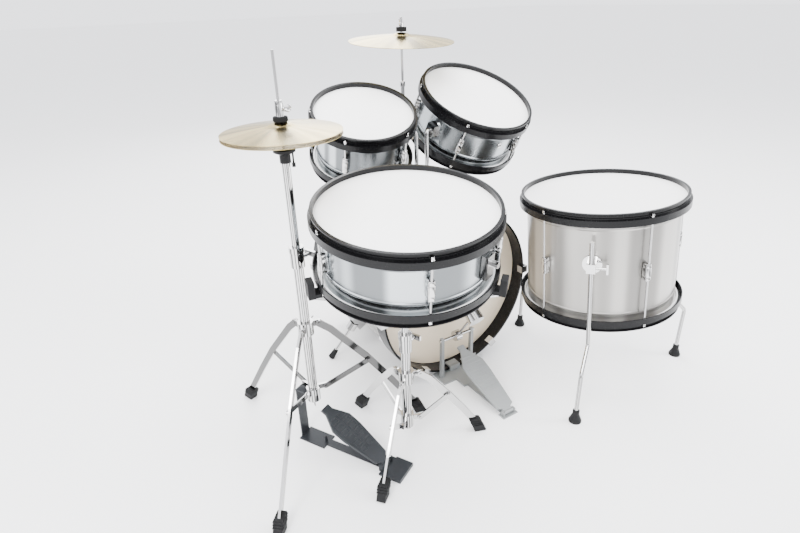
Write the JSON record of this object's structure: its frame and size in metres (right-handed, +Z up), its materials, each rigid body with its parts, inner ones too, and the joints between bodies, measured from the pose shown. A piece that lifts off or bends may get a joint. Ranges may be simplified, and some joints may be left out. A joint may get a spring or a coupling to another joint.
{
  "type": "acoustic drum kit",
  "caption": "Compact acoustic drum kit: silver bass drum, snare, rack toms and floor tom with black hoops, brass cymbals, chrome stands and two pedals.",
  "frame": {"origin": "centre of the kit's box on the floor plane", "axes": "+Z up, +Y along the bass drum from the player to the audience, +X to the player's right"},
  "size_m": [1.1004, 0.7679, 0.8244],
  "materials": {
    "shell_wrap": "wooden shell in a metallic silver wrap",
    "black_hoop": "satin black powder coat",
    "drum_head": "coated white film",
    "chrome": "bright chrome plate",
    "cymbal_brass": "lathed brass",
    "rubber": "moulded rubber",
    "black_plastic": "satin moulded plastic",
    "pedal_black": "dark powder coat",
    "pedal_grey": "grey cast metal"
  },
  "bodies": {
    "root": {"bass_shell": "shell_wrap", "bass_heads": "drum_head", "bass_hoops": "black_hoop", "bass_lugs": "chrome", "bass_brackets": "chrome", "floor_tom_shell": "shell_wrap", "floor_tom_heads": "drum_head", "floor_tom_hoops": "black_hoop", "floor_tom_lugs": "chrome", "floor_tom_brackets": "chrome", "hihat_legs": "chrome", "hihat_braces": "chrome", "hihat_leg_hub": "chrome", "hihat_lower_tube": "chrome", "hihat_pedal_frame": "pedal_black", "bass_pedal_frame": "pedal_grey", "snare_lower_tube": "chrome"},
    "left_spur": {"left_spur": "chrome"},
    "right_spur": {"right_spur": "chrome"},
    "left_tom_arm": {"left_tom_arm": "chrome"},
    "left_tom": {"left_tom_shell": "shell_wrap", "left_tom_heads": "drum_head", "left_tom_hoops": "black_hoop", "left_tom_lugs": "chrome", "left_tom_bracket": "chrome"},
    "right_tom_arm": {"right_tom_arm": "chrome"},
    "right_tom": {"right_tom_shell": "shell_wrap", "right_tom_heads": "drum_head", "right_tom_hoops": "black_hoop", "right_tom_lugs": "chrome", "right_tom_bracket": "chrome"},
    "crash_rod": {"crash_rod": "chrome"},
    "crash_cymbal": {"crash_cymbal": "cymbal_brass"},
    "floor_leg_a": {"floor_leg_a": "chrome"},
    "floor_leg_b": {"floor_leg_b": "chrome"},
    "floor_leg_c": {"floor_leg_c": "chrome"},
    "hihat_upper": {"hihat_upper_tube": "chrome", "hihat_seat": "black_plastic", "hihat_bottom_cymbal": "cymbal_brass"},
    "hihat_rod": {"hihat_pull_rod": "chrome", "hihat_top_cymbal": "cymbal_brass"},
    "hihat_footboard": {"hihat_footboard": "pedal_black"},
    "bass_footboard": {"bass_footboard": "pedal_grey"},
    "bass_beater": {"bass_beater": "pedal_grey"},
    "snare_post": {"snare_upper_tube": "chrome"},
    "snare": {"snare_basket": "chrome", "snare_grips": "rubber", "snare_shell": "shell_wrap", "snare_heads": "drum_head", "snare_hoops": "black_hoop", "snare_lugs": "chrome", "snare_strainer": "chrome"},
    "snare_hub": {"snare_leg_hub": "chrome"},
    "snare_leg_a": {"snare_leg_a": "chrome"},
    "snare_brace_a": {"snare_brace_a": "chrome"},
    "snare_leg_b": {"snare_leg_b": "chrome"},
    "snare_brace_b": {"snare_brace_b": "chrome"},
    "snare_leg_c": {"snare_leg_c": "chrome"},
    "snare_brace_c": {"snare_brace_c": "chrome"}
  },
  "joints": [
    {"name": "left_spur_slide", "type": "slide", "parent": "root", "child": "left_spur", "axis": [-0.4516, 0.2899, -0.8438], "range_m": [-0.02, 0.02]},
    {"name": "right_spur_slide", "type": "slide", "parent": "root", "child": "right_spur", "axis": [0.4516, 0.2899, -0.8438], "range_m": [-0.02, 0.02]},
    {"name": "left_tom_height", "type": "slide", "parent": "root", "child": "left_tom_arm", "axis": [0, 0, 1], "range_m": [-0.02, 0.04]},
    {"name": "left_tom_tilt", "type": "hinge", "parent": "left_tom_arm", "child": "left_tom", "pos_m": [-0.01171, 0.12524, 0.58642], "axis": [0.9745, -0.2243, 0.0077], "range_deg": [-10, 10]},
    {"name": "right_tom_height", "type": "slide", "parent": "root", "child": "right_tom_arm", "axis": [0, 0, 1], "range_m": [-0.02, 0.04]},
    {"name": "right_tom_tilt", "type": "hinge", "parent": "right_tom_arm", "child": "right_tom", "pos_m": [0.07121, 0.12502, 0.58225], "axis": [0.9754, 0.2159, 0.0451], "range_deg": [-10, 10]},
    {"name": "crash_height", "type": "slide", "parent": "root", "child": "crash_rod", "axis": [0, 0, 1], "range_m": [-0.02, 0.03]},
    {"name": "crash_swing", "type": "hinge", "parent": "crash_rod", "child": "crash_cymbal", "pos_m": [0.06864, 0.25601, 0.7874], "axis": [1, 0, 0], "range_deg": [-12, 6]},
    {"name": "floor_leg_a_slide", "type": "slide", "parent": "root", "child": "floor_leg_a", "axis": [-0.0375, 0.0782, 0.9962], "range_m": [-0.02, 0.02]},
    {"name": "floor_leg_b_slide", "type": "slide", "parent": "root", "child": "floor_leg_b", "axis": [-0.0375, 0.0782, 0.9962], "range_m": [-0.02, 0.02]},
    {"name": "floor_leg_c_slide", "type": "slide", "parent": "root", "child": "floor_leg_c", "axis": [-0.0375, 0.0782, 0.9962], "range_m": [-0.02, 0.02]},
    {"name": "hihat_height", "type": "slide", "parent": "root", "child": "hihat_upper", "axis": [0, 0, 1], "range_m": [-0.06, 0]},
    {"name": "hihat_press", "type": "hinge", "parent": "root", "child": "hihat_footboard", "pos_m": [-0.29326, -0.21217, 0.012], "axis": [0.8805, 0.4741, 0], "range_deg": [-1.8, 0], "stiffness_Nm_per_rad": 4, "springref_deg": 11.46},
    {"name": "hihat_pull", "type": "slide", "parent": "root", "child": "hihat_rod", "axis": [0, 0, 1], "range_m": [-0.0047, 0]},
    {"name": "bass_press", "type": "hinge", "parent": "root", "child": "bass_footboard", "pos_m": [0.02014, -0.23499, 0.009], "axis": [1, 0, 0], "range_deg": [-7, 0], "stiffness_Nm_per_rad": 8, "springref_deg": 11.46},
    {"name": "beater_swing", "type": "hinge", "parent": "root", "child": "bass_beater", "pos_m": [0.02014, -0.04099, 0.11], "axis": [1, 0, 0], "range_deg": [-47, 0]},
    {"name": "snare_height", "type": "slide", "parent": "root", "child": "snare_post", "axis": [0, 0, 1], "range_m": [-0.03, 0.04]},
    {"name": "snare_tilt", "type": "hinge", "parent": "snare_post", "child": "snare", "pos_m": [-0.21446, -0.17469, 0.362], "axis": [1, 0, 0], "range_deg": [-3.5, 8]},
    {"name": "snare_fold", "type": "slide", "parent": "root", "child": "snare_hub", "axis": [0, 0, 1], "range_m": [0, 0.012]},
    {"name": "snare_leg_a_fold", "type": "hinge", "parent": "snare_hub", "child": "snare_leg_a", "pos_m": [-0.21982, -0.14518, 0.172], "axis": [-0.9839, -0.1788, 0], "range_deg": [0, 5.4]},
    {"name": "snare_brace_a_fold", "type": "hinge", "parent": "root", "child": "snare_brace_a", "pos_m": [-0.21929, -0.14813, 0.062], "axis": [-0.9839, -0.1788, 0], "range_deg": [-6.8, 0]},
    {"name": "snare_leg_b_fold", "type": "hinge", "parent": "snare_hub", "child": "snare_leg_b", "pos_m": [-0.23764, -0.19373, 0.172], "axis": [0.6347, -0.7727, 0], "range_deg": [0, 5.4]},
    {"name": "snare_brace_b_fold", "type": "hinge", "parent": "root", "child": "snare_brace_b", "pos_m": [-0.23532, -0.19183, 0.062], "axis": [0.6347, -0.7727, 0], "range_deg": [-6.8, 0]},
    {"name": "snare_leg_c_fold", "type": "hinge", "parent": "snare_hub", "child": "snare_leg_c", "pos_m": [-0.18655, -0.18569, 0.172], "axis": [0.3665, 0.9304, 0], "range_deg": [0, 5.4]},
    {"name": "snare_brace_c_fold", "type": "hinge", "parent": "root", "child": "snare_brace_c", "pos_m": [-0.18934, -0.18459, 0.062], "axis": [0.3665, 0.9304, 0], "range_deg": [-6.8, 0]}
  ],
  "couplings": [
    {"joint": "hihat_pull", "follows": "hihat_press", "m_per_rad": 0.146},
    {"joint": "beater_swing", "follows": "bass_press", "ratio": 6.7},
    {"joint": "snare_leg_a_fold", "follows": "snare_fold", "rad_per_m": 7.75},
    {"joint": "snare_brace_a_fold", "follows": "snare_fold", "rad_per_m": -9.77},
    {"joint": "snare_leg_b_fold", "follows": "snare_fold", "rad_per_m": 7.75},
    {"joint": "snare_brace_b_fold", "follows": "snare_fold", "rad_per_m": -9.77},
    {"joint": "snare_leg_c_fold", "follows": "snare_fold", "rad_per_m": 7.75},
    {"joint": "snare_brace_c_fold", "follows": "snare_fold", "rad_per_m": -9.77}
  ]
}
